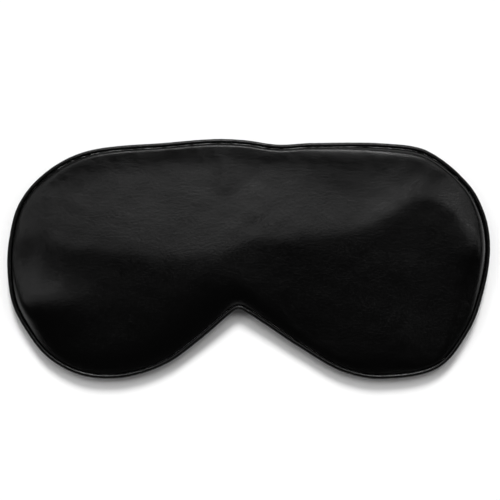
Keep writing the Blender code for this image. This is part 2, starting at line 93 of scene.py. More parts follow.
# The outline as it lies, clockwise from the nose notch, in shares of half the width and half the height.
OUTLINE = (
    (-0.045, -0.415), (-0.083, -0.464), (-0.197, -0.660), (-0.334, -0.861), (-0.482, -0.970),
    (-0.620, -0.990), (-0.734, -0.936), (-0.840, -0.803), (-0.921, -0.598), (-0.980, -0.364),
    (-1.000, -0.084), (-0.993, 0.167), (-0.958, 0.438), (-0.884, 0.648), (-0.761, 0.829),
    (-0.620, 0.922), (-0.341, 0.970), (-0.150, 1.000), (-0.020, 0.992), (0.120, 0.954),
    (0.254, 0.967), (0.566, 0.963), (0.742, 0.899), (0.912, 0.620), (0.982, 0.341),
    (0.998, 0.058), (0.970, -0.282), (0.912, -0.592), (0.784, -0.904), (0.557, -0.995),
    (0.387, -0.935), (0.206, -0.729), (0.068, -0.544), (-0.012, -0.441),
)

# The crest of the padded front lies along these places, and the cloth falls away on both sides of it.
CREST = (
    (-0.120, 0.003), (-0.066, 0.0032), (-0.040, -0.0006), (-0.028, -0.0008), (-0.013, 0.0015),
    (0.000, 0.0072), (0.023, 0.0085), (0.045, 0.0108), (0.059, 0.0155), (0.068, 0.0222), (0.078, 0.0268),
    (0.085, 0.0245), (0.093, 0.0175), (0.100, 0.0090), (0.106, 0.0045), (0.120, 0.004),
)

# Soft hollows (negative) and swells of the front: x, y, reach in x, reach in y, height.
SWELLS = (
    (-0.0940, 0.0005, 0.0160, 0.0070, -0.0002),
    (-0.0990, -0.0210, 0.0230, 0.0110, 0.0031),
    (-0.0990, 0.0105, 0.0080, 0.0070, 0.0005),
    (0.1035, 0.0040, 0.0090, 0.0130, 0.0023),
    (0.0420, 0.0460, 0.0180, 0.0120, 0.0012),
    (0.0660, 0.0450, 0.0150, 0.0110, 0.0008),
    (-0.0105, 0.0400, 0.0050, 0.0100, 0.0004),
    (0.0700, -0.0340, 0.0100, 0.0100, 0.0004),
    (0.0700, -0.0040, 0.0120, 0.0080, 0.0003),
)

# Soft lamps: name, strength, how wide each looks in degrees, and the direction that it shines from.
LIGHTS = (
    ("key", 2.9, 17, (0.03, 0.76, 0.65)),
    ("left", 0.39, 24, (-0.47, 0.50, 0.73)),
    ("right", 0.28, 24, (0.47, 0.50, 0.73)),
    ("overhead", 0.56, 26, (0.03, 0.41, 0.91)),
    ("far_left", 0.34, 20, (-0.72, 0.16, 0.68)),
    ("far_right", 0.30, 20, (0.72, 0.12, 0.68)),
)
WHITE = (1, 1, 1, 1)
ROOM_STRENGTH, BACKDROP_STRENGTH = 0.07, 1.0
FLOOR_REACH = 6.0
LENS, SENSOR_WIDTH = 100, 36  # in millimetres
CAMERA_PLACE = (0.0006, 0.0040, 0.6227)

# A Mix node's colour sockets are found by number, because its other sockets have the same names.
MIX_FIRST, MIX_SECOND, MIX_COLOUR = 6, 7, 2


# ---------------------------------------------------------------------------------------------------
# Settings


class MaskSettings(bpy.types.PropertyGroup):
    """Sizes and colours of the sleep mask that a user would change."""

    piping_radius: bpy.props.FloatProperty(
        name="Piping radius",
        description="Half the thickness of the covered cord round the rim",
        default=0.0010,
        min=0.0005,
        unit="LENGTH",
    )
    rim_height: bpy.props.FloatProperty(
        name="Rim height",
        description="Height of the piping's middle above the surface",
        default=0.0050,
        unit="LENGTH",
    )
    nose_lift: bpy.props.FloatProperty(
        name="Nose lift",
        description="How much higher the rim stands over the bridge of the nose",
        default=0.0012,
        unit="LENGTH",
    )
    fall: bpy.props.FloatProperty(
        name="Fall",
        description="How steeply the front falls away from its crest towards the brow, as a slope",
        default=0.125,
    )
    webbing: bpy.props.FloatProperty(
        name="Webbing",
        description="Thickness of the elastic",
        default=0.0007,
        unit="LENGTH",
    )
    strap_width: bpy.props.FloatProperty(
        name="Strap width",
        description="Width of the elastic",
        default=0.0120,
        unit="LENGTH",
    )
    satin: bpy.props.FloatVectorProperty(
        name="Satin",
        description="Colour of the satin",
        default=(0.0003, 0.0003, 0.0003),
        size=3,
        min=0,
        max=1,
        subtype="COLOR",
    )
    satin_roughness: bpy.props.FloatProperty(
        name="Satin roughness",
        description="How wide the satin's sheen spreads",
        default=0.24,
        min=0,
        max=1,
        subtype="FACTOR",
    )
    floor: bpy.props.FloatVectorProperty(
        name="Floor",
        description="Colour of the surface",
        default=(0.93, 0.93, 0.93),
        size=3,
        min=0,
        max=1,
        subtype="COLOR",
    )


def settings():
    """The mask's settings in this scene."""
    return bpy.context.scene.sleep_mask


# ---------------------------------------------------------------------------------------------------
# Shader expressions


class Value:
    """A shader socket that adds Math nodes when it is used in an expression."""

    def __init__(self, tree, socket):
        self.tree = tree
        self.socket = socket

    def maths(self, operation, *values):
        return self.tree.add("Math", {"operation": operation}, dict(enumerate(values)))

    def __add__(self, other):
        return self.maths("ADD", self, other)

    __radd__ = __add__

    def __sub__(self, other):
        return self.maths("SUBTRACT", self, other)

    def __rsub__(self, other):
        return self.maths("SUBTRACT", other, self)

    def __mul__(self, other):
        return self.maths("MULTIPLY", self, other)

    __rmul__ = __mul__

    def waves(self, pitch):
        """A wave between -1 and 1, with one crest to each pitch of this value."""
        return self.maths("SINE", self * (2 * math.pi / pitch))


class Nodes:
    """A node tree, filled by one method for every kind of node."""

    def __init__(self, tree):
        self.nodes = tree.nodes
        self.links = tree.links

    def add(self, kind, options=None, inputs=None, output=0):
        """A node of this kind, its options set first, then the values or links of its sockets."""
        node = self.nodes.new("ShaderNode" + kind)
        for option, value in (options or {}).items():
            setattr(node, option, value)
        for socket, value in (inputs or {}).items():
            self.feed(node.inputs[socket], value)
        return Value(self, node.outputs[output])

    def feed(self, socket, value):
        """Link a value to a socket, or set the socket to a plain number or colour."""
        if isinstance(value, Value):
            self.links.new(value.socket, socket)
        else:
            socket.default_value = value


class Shader(Nodes):
    """A material, and the patterns that the finishes are made of."""

    def __init__(self, name, constants):
        self.material = bpy.data.materials.new(name)
        self.material.use_nodes = True
        super().__init__(self.material.node_tree)
        self.principled = self.nodes["Principled BSDF"]
        for socket, value in constants.items():
            self.principled.inputs[socket].default_value = value

    def place(self, scale=(1, 1, 1), turn=(0, 0, 0)):
        """The piece's own coordinates in metres, turned and stretched."""
        here = self.add("TexCoord", output="Object")
        return self.add("Mapping", {}, {"Vector": here, "Rotation": turn, "Scale": scale})

    def axes(self, turn=0.0):
        """The piece's own X, Y and Z in metres, turned about Z."""
        node = self.add("SeparateXYZ", {}, {"Vector": self.place(turn=(0, 0, turn))}).socket.node
        return [Value(self, output) for output in node.outputs]

    def noise(self, scale, detail=3.0, roughness=0.5, turn=(0, 0, 0)):
        """Soft uneven patches, so many to the metre, alike in all directions or drawn out along some."""
        stretch = scale if isinstance(scale, tuple) else (scale, scale, scale)
        inputs = {"Vector": self.place(stretch, turn), "Scale": 1.0, "Detail": detail, "Roughness": roughness}
        return self.add("TexNoise", {}, inputs)

    def tint(self, factor, low, high):
        """A colour between two, by a value."""
        inputs = {"Factor": factor, MIX_FIRST: (*low, 1), MIX_SECOND: (*high, 1)}
        return self.add("Mix", {"data_type": "RGBA"}, inputs, output=MIX_COLOUR)

    def bump(self, height, distance, strength=1.0):
        inputs = {"Height": height, "Distance": distance, "Strength": strength}
        return self.add("Bump", {}, inputs)

    def finish(self, **sockets):
        for name, value in sockets.items():
            self.feed(self.principled.inputs[name.replace("_", " ")], value)
        return self.material


def mixed(colour, amount):
    """A darker or lighter version of a colour."""
    return tuple(min(1.0, part * amount) for part in colour)


def satin_material(name, turn=0.0, scale=1.0):
    """Silk-like satin: a near-black ground under long warp floats, with a broad soft sheen."""
    colour = tuple(settings().satin)
    rough = settings().satin_roughness
    made = Shader(name, {"Specular IOR Level": 0.18, "IOR": 1.5})
    floats = made.noise((900 * scale, 5200 * scale, 900 * scale), 2.0, turn=(0, 0, turn))
    cross = made.noise((4600 * scale, 700 * scale, 700 * scale), 1.0, turn=(0, 0, turn))
    slub = made.noise(60)
    speckle = made.noise(1300, 2.0, 0.7)
    weave = floats * 0.6 + cross * 0.4
    tone = weave * 0.6 + slub * 0.4
    height = weave * 0.45 + speckle * 0.55
    return made.finish(
        Base_Color=made.tint(tone, mixed(colour, 0.6), mixed(colour, 1.6)),
        Roughness=rough - 0.07 + 0.10 * speckle + 0.04 * slub,
        Normal=made.bump(height, 0.00026, 0.8),
    )


def cloth_material(name, colour, pitch=0.0006, rough=0.85):
    """A plain weave: warp and weft as crossed waves, with uneven threads."""
    made = Shader(name, {"Specular IOR Level": 0.3})
    across, along, _ = made.axes()
    weave = across.waves(pitch) * along.waves(pitch) * 0.5 + 0.5
    uneven = made.noise(400)
    return made.finish(
        Base_Color=made.tint(weave * 0.6 + uneven * 0.4, mixed(colour, 0.7), mixed(colour, 1.25)),
        Roughness=rough - 0.06 + 0.1 * uneven,
        Normal=made.bump(weave * 0.7 + uneven * 0.3, 0.00008, 0.6),
    )


def elastic_material(name):
    """Woven elastic: lengthwise ribs of covered rubber crossed by fine weft."""
    colour = (0.012, 0.012, 0.013)
    made = Shader(name, {"Specular IOR Level": 0.4, "Sheen Weight": 0.08})
    lengthwise, widthwise, _ = made.axes()
    ribs = widthwise.waves(RIB_PITCH) * 0.5 + 0.5
    weft = lengthwise.waves(0.0006) * 0.5 + 0.5
    fuzz = made.noise(1500)
    height = ribs * 0.55 + weft * 0.3 + fuzz * 0.15
    return made.finish(
        Base_Color=made.tint(height, mixed(colour, 0.5), mixed(colour, 1.7)),
        Roughness=0.62 + 0.16 * fuzz,
        Normal=made.bump(height, 0.00014, 0.7),
    )


def wadding_material(name):
    """Fluffy fibre wadding: tangled strands at two sizes."""
    made = Shader(name, {"Specular IOR Level": 0.2, "Sheen Weight": 0.3})
    tuft = made.noise(260, 6.0, 0.65)
    strand = made.noise((2200, 700, 1400), 4.0, turn=(0.3, 0.2, 0.6))
    height = tuft * 0.6 + strand * 0.4
    return made.finish(
        Base_Color=made.tint(height, (0.52, 0.51, 0.48), (0.80, 0.79, 0.76)),
        Roughness=0.9 + 0.08 * strand,
        Normal=made.bump(height, 0.0005, 0.8),
    )


def cord_material(name):
    """Twisted cotton: slanted strands."""
    made = Shader(name, {"Specular IOR Level": 0.2})
    slanted = made.axes(turn=0.7)[0]
    twist = slanted.waves(0.0009) * 0.5 + 0.5
    fuzz = made.noise(1800, 4.0)
    return made.finish(
        Base_Color=made.tint(twist * 0.6 + fuzz * 0.4, (0.42, 0.40, 0.35), (0.72, 0.70, 0.64)),
        Roughness=0.85 + 0.1 * fuzz,
        Normal=made.bump(twist * 0.7 + fuzz * 0.3, 0.00015, 0.7),
    )


def thread_material(name):
    """Sewing thread: a tight fine twist with a little lustre."""
    made = Shader(name, {"Specular IOR Level": 0.5, "Sheen Weight": 0.1})
    slanted = made.axes(turn=0.9)[0]
    twist = slanted.waves(0.00035) * 0.5 + 0.5
    fuzz = made.noise(4000, 2.0)
    return made.finish(
        Base_Color=made.tint(twist, (0.006, 0.006, 0.006), (0.022, 0.022, 0.024)),
        Roughness=0.45 + 0.15 * fuzz,
        Normal=made.bump(twist, 0.00005, 0.6),
    )


def moulded_material(name):
    """Black moulded plastic: a fine spark-eroded grain, rubbed smoother in places."""
    made = Shader(name, {"Specular IOR Level": 0.5})
    grain = made.noise(3500, 2.0)
    wear = made.noise(260, 4.0)
    return made.finish(
        Base_Color=made.tint(wear, (0.010, 0.010, 0.011), (0.019, 0.019, 0.020)),
        Roughness=0.26 + 0.12 * wear + 0.06 * grain,
        Normal=made.bump(grain, 0.00003, 0.4),
    )


MATERIALS = {}


def material(kind):
    """Each finish, made the first time that a piece asks for it."""
    makers = {
        "satin": lambda: satin_material("satin"),
        "bias": lambda: satin_material("satin_on_the_bias", math.radians(45), 1.15),
        "lining": lambda: cloth_material("black_out_cloth", (0.016, 0.016, 0.018)),
        "wadding": lambda: wadding_material("wadding"),
        "cord": lambda: cord_material("cotton_cord"),
        "thread": lambda: thread_material("sewing_thread"),
        "elastic": lambda: elastic_material("woven_elastic"),
        "hardware": lambda: moulded_material("moulded_plastic"),
    }
    if kind not in MATERIALS:
        MATERIALS[kind] = makers[kind]()
    return MATERIALS[kind]


# ---------------------------------------------------------------------------------------------------
# The outline, and the stations that every soft piece is lofted from


def smooth_loop(points, steps):
    """A closed curve through the points, as a cubic from point to point timed by their distance."""
    before, after = np.roll(points, 1, axis=0), np.roll(points, -1, axis=0)
    span = np.linalg.norm(after - points, axis=1)[:, None]
    slope = (after - before) / (span + np.roll(span, 1, axis=0))
    next_slope = np.roll(slope, -1, axis=0)
    rows = []
    for t in np.arange(steps) / steps:
        rows.append(
            points * (2 * t**3 - 3 * t**2 + 1)
            + after * (3 * t**2 - 2 * t**3)
            + span * slope * (t**3 - 2 * t**2 + t)
            + span * next_slope * (t**3 - t**2)
        )
    return np.stack(rows, axis=1).reshape(-1, 2)


def inward(curve):
    """Unit normals of a clockwise closed curve, pointing inside."""
    along = np.roll(curve, -1, axis=0) - np.roll(curve, 1, axis=0)
    along /= np.linalg.norm(along, axis=1)[:, None]
    return np.stack([along[:, 1], -along[:, 0]], axis=1)


def spaced(path, count):
    """count points at even steps along a path, the last one left out."""
    length = np.concatenate([[0], np.cumsum(np.linalg.norm(np.diff(path, axis=0), axis=1))])
    wanted = np.linspace(0, length[-1], count + 1)[:-1]
    return np.stack([np.interp(wanted, length, path[:, k]) for k in (0, 1)], axis=1)


def crest_line(x):
    """How far up the front its crest lies at each x, rounded off between the named places."""
    places = np.array(CREST)
    reach = 0.006 * np.linspace(-1, 1, 7)
    return np.mean([np.interp(x + step, places[:, 0], places[:, 1]) for step in reach], axis=0)


class Stations:
    """The rim's middle line with its inward normals, and the crest point that each station faces."""

    def __init__(self, half_count):
        half = np.array([(RIM_HIGH.x - RIM_LOW.x) / 2, (RIM_HIGH.y - RIM_LOW.y) / 2])
        edge = smooth_loop(np.array(OUTLINE) * half, 40)
        low, high = edge.min(axis=0), edge.max(axis=0)
        edge = (edge - (low + high) / 2) * (2 * half / (high - low))
        rim = edge + inward(edge) * settings().piping_radius
        near = np.abs(rim[:, 1] - STRAP_Y)
        left = int(np.argmin(np.where(rim[:, 0] < 0, near, np.inf)))
        right = int(np.argmin(np.where(rim[:, 0] > 0, near, np.inf)))
        brow = self.stretch(rim, left, right)
        lower = self.stretch(rim, right, left)
        self.half = half_count
        self.count = 2 * half_count
        self.points = np.concatenate([spaced(brow, half_count), spaced(lower, half_count)])
        self.normals = inward(self.points)
        turn = np.linspace(0, math.pi, half_count + 1)
        across = -CREST_REACH * np.cos(turn)
        across = np.concatenate([across[:-1], across[:0:-1]])
        self.crest = np.stack([across, crest_line(across) * 0.7 + 0.3 * STRAP_Y], axis=1)
        steps = np.linalg.norm(np.roll(self.points, -1, axis=0) - self.points, axis=1)
        self.along = np.concatenate([[0], np.cumsum(steps)[:-1]])
        self.length = steps.sum()
        self.rim = self.rim_at(self.points)
        self.opened = MOUTH_DEPTH * self.mouth_at(self.points)

    @staticmethod
    def rim_at(plan):
        """The height of the piping's middle, which is lifted over the bridge of the nose."""
        away = np.hypot(plan[:, 0] + 0.005, plan[:, 1] + 0.022)
        return settings().rim_height + settings().nose_lift * np.exp(-((away / 0.022) ** 2))

    @staticmethod
    def mouth_at(plan):
        """1 where the strap leaves a side seam, and 0 away from it."""
        beside = np.clip(1 - (np.abs(plan[:, 1] - STRAP_Y) - 0.0075) / 0.006, 0, 1)
        return np.where(np.abs(plan[:, 0]) > MOUTH_X, beside, 0.0)

    def brow_at(self, x):
        """How far up the brow's rim lies at each x."""
        brow = self.points[: self.half + 1]
        return np.interp(x, brow[:, 0], brow[:, 1])

    def depth(self, plan):
        """How far inside the rim each place lies, smooth where several parts of the rim are near."""
        away = plan[:, None] - self.points[None]
        gaps = np.hypot(away[..., 0], away[..., 1])
        crowd = (np.maximum(gaps, 1e-4) ** -4.0).sum(axis=1) * self.length / self.count
        return (crowd * 2 / math.pi) ** (-1 / 3)

    @staticmethod
    def stretch(curve, first, last):
        """The points of a closed curve from the first to the last."""
        if last < first:
            last += len(curve)
        return curve[np.arange(first, last + 1) % len(curve)]

    def inset(self, distance):
        """The ring of places this far inside the piping's middle: one distance, or one for each."""
        return self.points + self.normals * np.reshape(distance, (-1, 1))

    def toward_crest(self, start, share):
        """Points this share of the way from the crest to the ring that lies start inside the rim."""
        return self.crest + (self.inset(start) - self.crest) * share


def ripples(x, y, seed, wavelength, count=14):
    """A smooth uneven field between about -1 and 1, the same on every run."""
    chance = np.random.default_rng(seed)
    total = np.zeros_like(x)
    for _ in range(count):
        angle = chance.uniform(0, math.pi)
        turns = 2 * math.pi / (wavelength * chance.uniform(0.7, 1.6))
        total += np.sin(turns * (x * math.cos(angle) + y * math.sin(angle)) + chance.uniform(0, 6.28))
    return total / math.sqrt(count)


def softly_under(first, second):
    """The lower of two positive heights, rounded where they cross."""
    first, second = np.maximum(first, 1e-6), np.maximum(second, 1e-6)
    return (first**-6.0 + second**-6.0) ** (-1 / 6)


def smooth_step(value, low, high):
    """0 below low and 1 above high, with a smooth rise between."""
    share = np.clip((value - low) / (high - low), 0.0, 1.0)
    return share * share * (3 - 2 * share)


def soft_rise(value, softness):
    """Zero below zero and the value itself above it, rounded between."""
    return softness * np.log1p(np.exp(np.clip(value / softness, -30, 30)))


def front_roof(stations, plan, past_seam):
    """The padding under the front: a margin at the brow, an even slope up to the crest, and a slow fall."""
    x, y = plan[:, 0], plan[:, 1]
    crest = crest_line(x)
    aside = y - crest
    to_right = smooth_step(x, 0.035, 0.072)
    climb = settings().fall + 0.060 * to_right
    margin = 0.0080 * (1 - smooth_step(np.abs(x), 0.080, 0.098))
    run = np.clip(stations.brow_at(x) - margin - crest, 0.004, None)
    top = 0.0008 + 0.0010 * to_right + climb * run
    descent = 0.045 + 0.045 * np.exp(-(((x - 0.012) / 0.030) ** 2))
    slope = np.where(aside > 0, climb, descent)
    ridge = 0.0035
    roof = top - slope * (np.sqrt(aside**2 + ridge**2) - ridge)
    roof += 1.15 * climb * smooth_step(aside, 0.0, 0.008) * soft_rise(margin - past_seam, 0.0014)
    return roof + 0.00006 * ripples(x, y, 3, 0.034) + 0.00003 * ripples(x, y, 5, 0.012)


def swells(x, y):
    """The soft hollows and swells of the front."""
    return sum(
        amount * np.exp(-(((x - cx) / reach_x) ** 2) - ((y - cy) / reach_y) ** 2)
        for cx, cy, reach_x, reach_y, amount in SWELLS
    )


def rolled(past_seam, rise, reach, slope):
    """A panel's edge: a quick rise out of the seam that eases off into a slope."""
    return rise * (1 - np.exp(-past_seam / reach)) + slope * past_seam


def front_height(stations, plan):
    """The outer face of the front: rolled up from the seam, over the padding."""
    x, y = plan[:, 0], plan[:, 1]
    past_seam = np.clip(stations.depth(plan) - SEAM_INSET, 0, None)
    edge = rolled(past_seam, 0.0026, 0.0013, 0.26)
    below = smooth_step(-y, 0.0, 0.030)
    edge += below * (rolled(past_seam, 0.0020, 0.0038, 0.24) - edge)
    upper_right = smooth_step(x, 0.070, 0.095) * smooth_step(y, -0.006, 0.006)
    edge += upper_right * (rolled(past_seam, 0.0034, 0.0010, 0.30) - edge)
    upper_left = smooth_step(-x, 0.060, 0.098) * smooth_step(y, -0.030, -0.006)
    lean = rolled(past_seam, 0.0006, 0.0008, 0.20) + 4.0 * past_seam**2
    edge += upper_left * (lean - edge)
    padding = softly_under(edge, front_roof(stations, plan, past_seam))
    padding += (1 - np.exp(-past_seam / 0.0015)) * swells(x, y)
    return stations.rim_at(plan) + 0.00080 + padding


def channel(plan):
    """How high the back stands over the strap: low over plain webbing, high over the hardware."""
    x, aside = plan[:, 0], np.abs(plan[:, 1] - STRAP_Y)
    start = smooth_step(x, SLIDER_LOW.x - 0.022, SLIDER_LOW.x - 0.004)
    stop = smooth_step(x, RING_HIGH.x + 0.013, RING_HIGH.x + 0.029)
    plain, over_hardware = 0.0019, 0.0050
    top = plain + (over_hardware - plain) * start * (1 - stop)
    wall = smooth_step(aside, 0.0084, 0.0164)
    return top * (1 - wall)


def back_height(stations, plan):
    """The outer face of the back: rolled in from the seam, and flat but for the strap's channel."""
    x, y = plan[:, 0], plan[:, 1]
    past_seam = np.clip(stations.depth(plan) - SEAM_INSET, 0, None)
    edge = stations.rim_at(plan) - 0.0012 - MOUTH_DEPTH * stations.mouth_at(plan)
    lift = np.clip(1 - past_seam / 0.018, 0, 1) ** 2.2
    ripple = 0.00025 * np.abs(ripples(x, y, 23, 0.016)) * np.clip(past_seam / 0.006, 0, 1) * lift**0.3
    flat = edge * lift + ripple
    return np.maximum(flat, channel(plan) * (1 - 0.25 * lift))


# ---------------------------------------------------------------------------------------------------
# Mesh helpers


def add_piece(name, vertices, faces, finish, body=None):
    """A smooth-shaded piece with its finish and slot, riding on a body if one is named."""
    mesh = bpy.data.meshes.new(name)
    mesh.from_pydata([tuple(v) for v in vertices], [], faces)
    mesh.update()
    mesh.shade_smooth()
    mesh.materials.append(material(finish))
    made = bpy.data.objects.new(name, mesh)
    bpy.context.scene.collection.objects.link(made)
    if body:
        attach(made, body)
    return made


def at(plan, height):
    """Points at these places in plan, at one height or one height each."""
    return np.column_stack([plan, np.broadcast_to(height, (len(plan),))])


def loft(rings, half, closed=True):
    """Vertices and faces from rings that start on the crest line, and end on it too if closed."""
    count = 2 * half
    vertices, loops = [], []
    for number, ring in enumerate(rings):
        start = len(vertices)
        if number == 0 or (closed and number == len(rings) - 1):
            line = [(ring[i] + ring[-i % count]) / 2 for i in range(half + 1)]
            vertices += line
            loops.append([start + min(i, count - i) for i in range(count)])
        else:
            vertices += list(ring)
            loops.append(list(range(start, start + count)))
    faces = []
    for inner, outer in zip(loops, loops[1:]):
        for i in range(count):
            j = (i + 1) % count
            corners = list(dict.fromkeys([inner[i], outer[i], outer[j], inner[j]]))
            faces.append(corners)
    return vertices, faces


def shell_rings(stations, height, shares, insets=(), shift=0.0):
    """Rings from the crest out to the seam, on a face given by its height function."""
    plans = [stations.toward_crest(EDGE_START, share) for share in shares]
    plans += [stations.inset(inset) for inset in insets]
    return [at(plan, height(stations, plan) + shift) for plan in plans]


def cut(stations, inset):
    """Work out where a panel's flat cut edge lies, this far inside the rim; nothing is done with it."""
    edge = stations.inset(inset)


def tube_faces(count, size):
    """Faces of a closed tube, from its sections in order."""
    faces = []
    for i in range(count):
        j = (i + 1) % count
        for a in range(size):
            b = (a + 1) % size
            faces.append((i * size + a, j * size + a, j * size + b, i * size + b))
    return faces


def swept(stations, section):
    """Vertices and faces of a closed section swept round the rim, with its own section at each station."""
    vertices = []
    for i in range(stations.count):
        for inset, rise in section(i):
            x, y = stations.points[i] + stations.normals[i] * inset
            vertices.append((x, y, stations.rim[i] + rise))
    return vertices, tube_faces(stations.count, len(section(0)))


# ---------------------------------------------------------------------------------------------------
# Cloth


SETTLING_FRAMES = 20


def settle(rings, half, fullness, most, seed):
    """Let a panel that is a little too large for its seam pucker beside it, as cloth over its padding.

    The last two rings are the seam, which doesn't move. No point moves further than most.
    """
    vertices, faces = loft(rings, half, closed=False)
    before = np.array([tuple(v) for v in vertices])
    count = 2 * half
    spans = [slice(0, half + 1)]
    spans += [slice(half + 1 + k * count, half + 1 + (k + 1) * count) for k in range(len(rings) - 1)]
    loose = np.zeros(len(before))
    pinned = np.ones(len(before))
    for number, span in enumerate(spans):
        from_seam = len(rings) - 1 - number
        loose[span] = 1 - smooth_step(from_seam, 10, 17)
        pinned[span] = 1.0 if from_seam < 2 else 0.02 + 0.25 * (1 - loose[span])
    before[:, 2] += 0.00003 * loose * (pinned < 1) * ripples(before[:, 0], before[:, 1], seed, 0.006)

    mesh = bpy.data.meshes.new("settling")
    mesh.from_pydata(before.tolist(), [], faces)
    cloth = bpy.data.objects.new("settling", mesh)
    bpy.context.scene.collection.objects.link(cloth)
    for name, weights in (("pinned", pinned), ("loose", loose)):
        group = cloth.vertex_groups.new(name=name)
        for index, weight in enumerate(weights):
            group.add([index], weight, "REPLACE")
    modifier = cloth.modifiers.new("cloth", "CLOTH")
    modifier.collision_settings.use_collision = False
    fabric = modifier.settings
    fabric.quality = 4
    fabric.mass = 0.15
    fabric.tension_stiffness = 25
    fabric.compression_stiffness = 25
    fabric.shear_stiffness = 8
    fabric.bending_stiffness = 0.4
    fabric.vertex_group_mass = "pinned"
    fabric.pin_stiffness = 2.0
    fabric.vertex_group_shrink = "loose"
    fabric.shrink_min = 0.0
    fabric.shrink_max = -fullness
    fabric.effector_weights.gravity = 0
    for number in range(SETTLING_FRAMES):
        bpy.context.scene.frame_set(1 + number)
    settled = cloth.evaluated_get(bpy.context.evaluated_depsgraph_get())
    after = np.empty(before.size)
    settled.data.vertices.foreach_get("co", after)
    bpy.context.scene.frame_set(1)
    bpy.data.objects.remove(cloth)

    moved = (after.reshape(-1, 3) - before) * (0.1 + 0.9 * loose[:, None])
    far = np.linalg.norm(moved, axis=1)[:, None]
    after = before + moved * np.minimum(1, most / np.maximum(far, 1e-9))
    fold = [min(i, count - i) for i in range(count)]
    return [after[spans[0]][fold], *(after[span] for span in spans[1:])]


def build_front():
    """The satin front: its face out to the seam, its hem turned in, and its inner side."""
    stations = Stations(260)
    shares = np.linspace(0, 1, 34)
    outer = shell_rings(stations, front_height, shares, EDGE_STEPS)
    outer = settle(outer, stations.half, 0.03, 0.0007, 7)
    lower, upper = 0.00075, 0.0011
    places = (
        (SEAM_INSET - 0.00005, 0.00062),
        (SEAM_INSET + 0.0005, 0.00052),
        (SEAM_INSET + 0.0013, lower),
        (HEM_INSET, lower),
        (HEM_INSET, upper),
        (SEAM_INSET + 0.0023, upper),
    )
    hem = [at(stations.inset(inset), stations.rim + rise) for inset, rise in places]
    under = [ring - np.array([0, 0, CLOTH]) for ring in outer[len(shares) + 2 :: -3]]
    vertices, faces = loft(outer + hem + under, stations.half)
    made = add_piece("front_satin", vertices, faces, "satin", "mask")
    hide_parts("front_panel")
    cut(stations, SEAM_INSET - HEM)


def build_back():
    """The satin back, settled flat on the surface, with its hem set back where the strap leaves the seam."""
    stations = Stations(220)
    shares = np.linspace(0, 1, 30)
    outer = shell_rings(stations, back_height, shares, EDGE_STEPS[:-1])
    outer = settle(outer, stations.half, 0.02, 0.0006, 9)
    for ring in outer:
        ring[:, 2] = np.maximum(ring[:, 2], 0.0)
    opened = stations.opened
    places = (
        (SEAM_INSET + 0.0007 + opened, 0.0005),
        (SEAM_INSET + 0.0011 + opened, 0),
        (HEM_INSET, 0),
        (HEM_INSET, CLOTH),
        (SEAM_INSET + 0.0025 + opened, CLOTH),
    )
    top = stations.rim - 0.00075 - opened
    hem = [at(stations.inset(inset), top - drop) for inset, drop in places]
    under = [ring + np.array([0, 0, CLOTH]) for ring in outer[len(shares) + 2 :: -3]]
    vertices, faces = loft(outer + hem + under, stations.half)
    made = add_piece("back_satin", vertices, faces, "satin", "mask")
    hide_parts("back_panel")
    cut(stations, SEAM_INSET - HEM)


def build_layer(name, node, finish, upper, lower):
    """A layer inside the mask, between two faces that are each given as a height function and a shift."""
    stations = Stations(90)
    shares = np.linspace(0, 1, 14)
    top, bottom = [shell_rings(stations, height, shares, shift=shift) for height, shift in (upper, lower)]
    vertices, faces = loft(top + bottom[::-1], stations.half)
    made = add_piece(name, vertices, faces, finish, "mask")
    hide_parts(node)
    if finish == "lining":
        cut(stations, EDGE_START)
    return made


def build_piping():
    """The satin bias strip, pulled round the cord: a little uneven, with slanted drag lines."""
    stations = Stations(700)
    chance = np.random.default_rng(41)
    phases = chance.uniform(0, 2 * math.pi, 6)
    waves = 2 * math.pi / np.array([0.0031, 0.0043, 0.0057, 0.0083, 0.013, 0.021])
    sizes = np.array([0.012, 0.014, 0.012, 0.012, 0.016, 0.018])
    turns = np.linspace(0, 2 * math.pi, 19)[:-1]
    radius = settings().piping_radius

    def section(i):
        here = stations.along[i]
        ring = []
        for angle in turns:
            drag = here + 0.0011 * math.sin(angle + 0.6)
            swell = 0.98 + float((sizes * np.sin(waves * drag + phases)).sum()) * 0.6
            ring.append((radius * swell * math.cos(angle), radius * swell * math.sin(angle)))
        return ring

    vertices, faces = swept(stations, section)
    made = add_piece("piping_satin", vertices, faces, "bias", "mask")
    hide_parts("piping_cover")


# ---------------------------------------------------------------------------------------------------
# Strap and hardware


